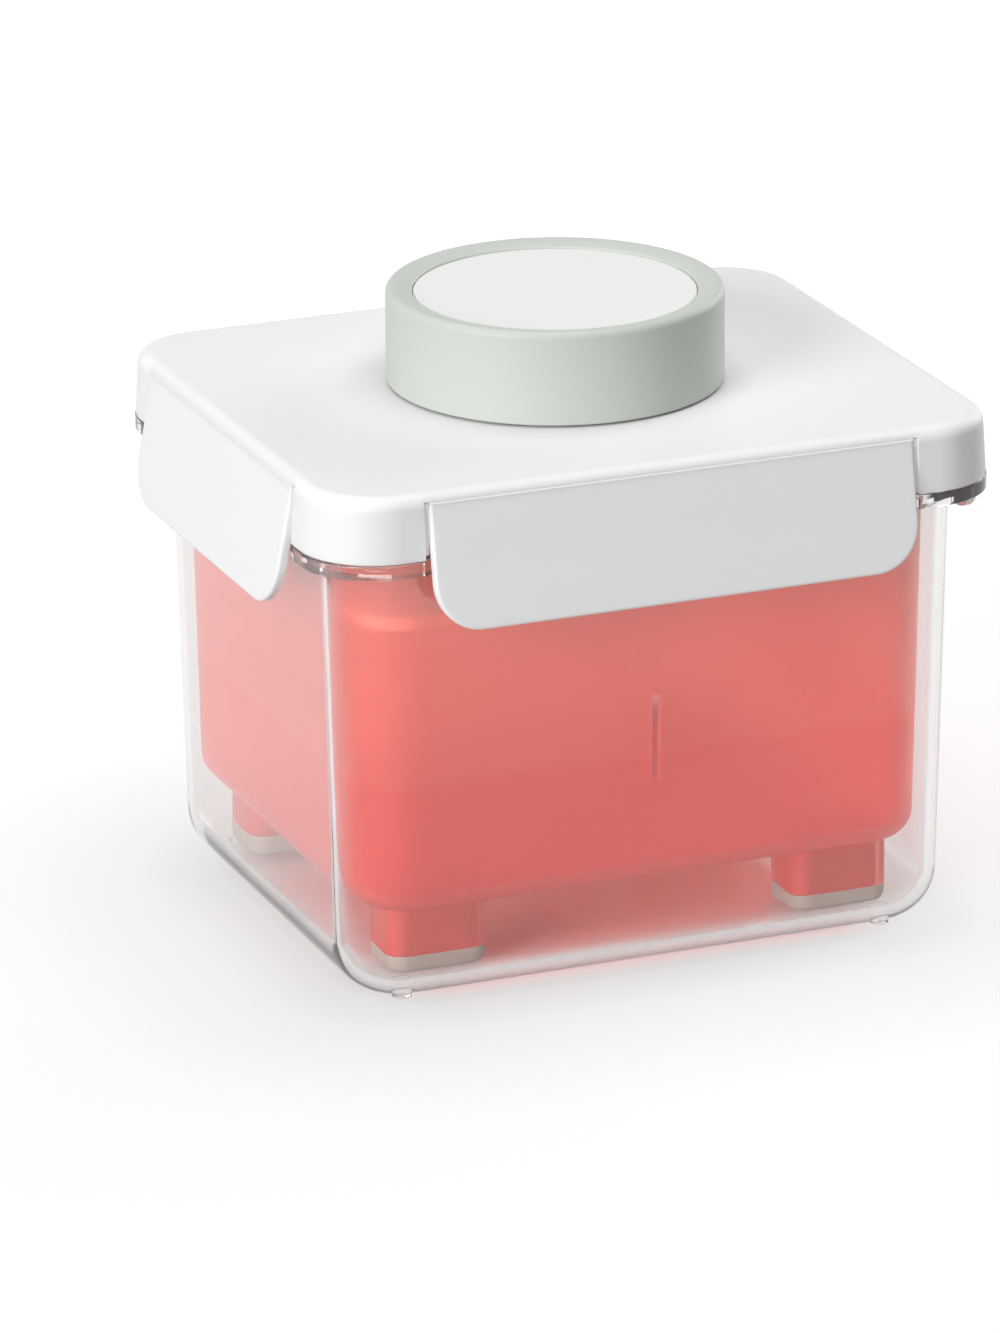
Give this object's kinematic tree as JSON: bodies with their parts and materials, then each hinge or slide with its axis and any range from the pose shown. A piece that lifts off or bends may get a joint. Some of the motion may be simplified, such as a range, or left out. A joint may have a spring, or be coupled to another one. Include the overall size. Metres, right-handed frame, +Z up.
{
  "type": "tofu press",
  "caption": "Screw-knob tofu press: a clear tub with hinged latches on its lid, a footed drain basket inside, and a press plate on a threaded column.",
  "frame": {"origin": "on the table under the middle of the tub, at the bottom of its four nubs", "axes": "+X to the right along the long side, +Y to the back, +Z up along the knob's axis"},
  "size_m": [0.1698, 0.145, 0.143],
  "materials": {
    "clear_plastic": "clear moulded copolyester, polished",
    "coral_plastic": "translucent coral moulding, soft sheen",
    "grey_silicone": "matt warm grey silicone",
    "white_plastic": "white moulding, fine satin texture",
    "clear_silicone": "milky silicone",
    "sage_plastic": "soft-touch sage green",
    "disc_plastic": "off-white satin",
    "natural_plastic": "natural acetal, smooth",
    "screw_steel": "plain stainless"
  },
  "bodies": {
    "container": {"container": "clear_plastic"},
    "basket": {"basket": "coral_plastic", "basket_foot_front_left": "grey_silicone", "basket_foot_front_right": "grey_silicone", "basket_foot_back_left": "grey_silicone", "basket_foot_back_right": "grey_silicone"},
    "lid": {"lid": "white_plastic", "lid_gasket": "clear_silicone"},
    "knob": {"knob_ring": "sage_plastic", "knob_disc": "disc_plastic", "drive_nut": "natural_plastic", "slip_washer": "natural_plastic", "snap_ring": "screw_steel", "nut_o_ring": "clear_silicone", "knob_screws": "screw_steel"},
    "press": {"press_column": "natural_plastic", "press_plate": "white_plastic", "plate_screws": "screw_steel"},
    "latch_front": {"latch_front": "white_plastic"},
    "latch_right": {"latch_right": "white_plastic"},
    "latch_back": {"latch_back": "white_plastic"},
    "latch_left": {"latch_left": "white_plastic"}
  },
  "joints": [
    {"name": "basket_lift", "type": "slide", "parent": "container", "child": "basket", "axis": [0, 0, 1], "range_m": [0, 0.11]},
    {"name": "lid_lift", "type": "slide", "parent": "basket", "child": "lid", "axis": [0, 0, 1], "range_m": [0, 0.12]},
    {"name": "knob_turn", "type": "hinge", "parent": "lid", "child": "knob", "pos_m": [0, 0, 0.13], "axis": [0, 0, -1], "range_deg": [0, 1020]},
    {"name": "press_travel", "type": "slide", "parent": "lid", "child": "press", "axis": [0, 0, -1], "range_m": [0, 0.0341]},
    {"name": "latch_front_swing", "type": "hinge", "parent": "lid", "child": "latch_front", "pos_m": [0, -0.06525, 0.1169], "axis": [-1, 0, 0], "range_deg": [0, 83]},
    {"name": "latch_right_swing", "type": "hinge", "parent": "lid", "child": "latch_right", "pos_m": [0.07765, 0, 0.1169], "axis": [0, -1, 0], "range_deg": [0, 83]},
    {"name": "latch_back_swing", "type": "hinge", "parent": "lid", "child": "latch_back", "pos_m": [0, 0.06525, 0.1169], "axis": [1, 0, 0], "range_deg": [0, 83]},
    {"name": "latch_left_swing", "type": "hinge", "parent": "lid", "child": "latch_left", "pos_m": [-0.07765, 0, 0.1169], "axis": [0, 1, 0], "range_deg": [0, 83]}
  ],
  "couplings": [
    {"joint": "press_travel", "follows": "knob_turn", "m_per_rad": 0.0019099}
  ]
}
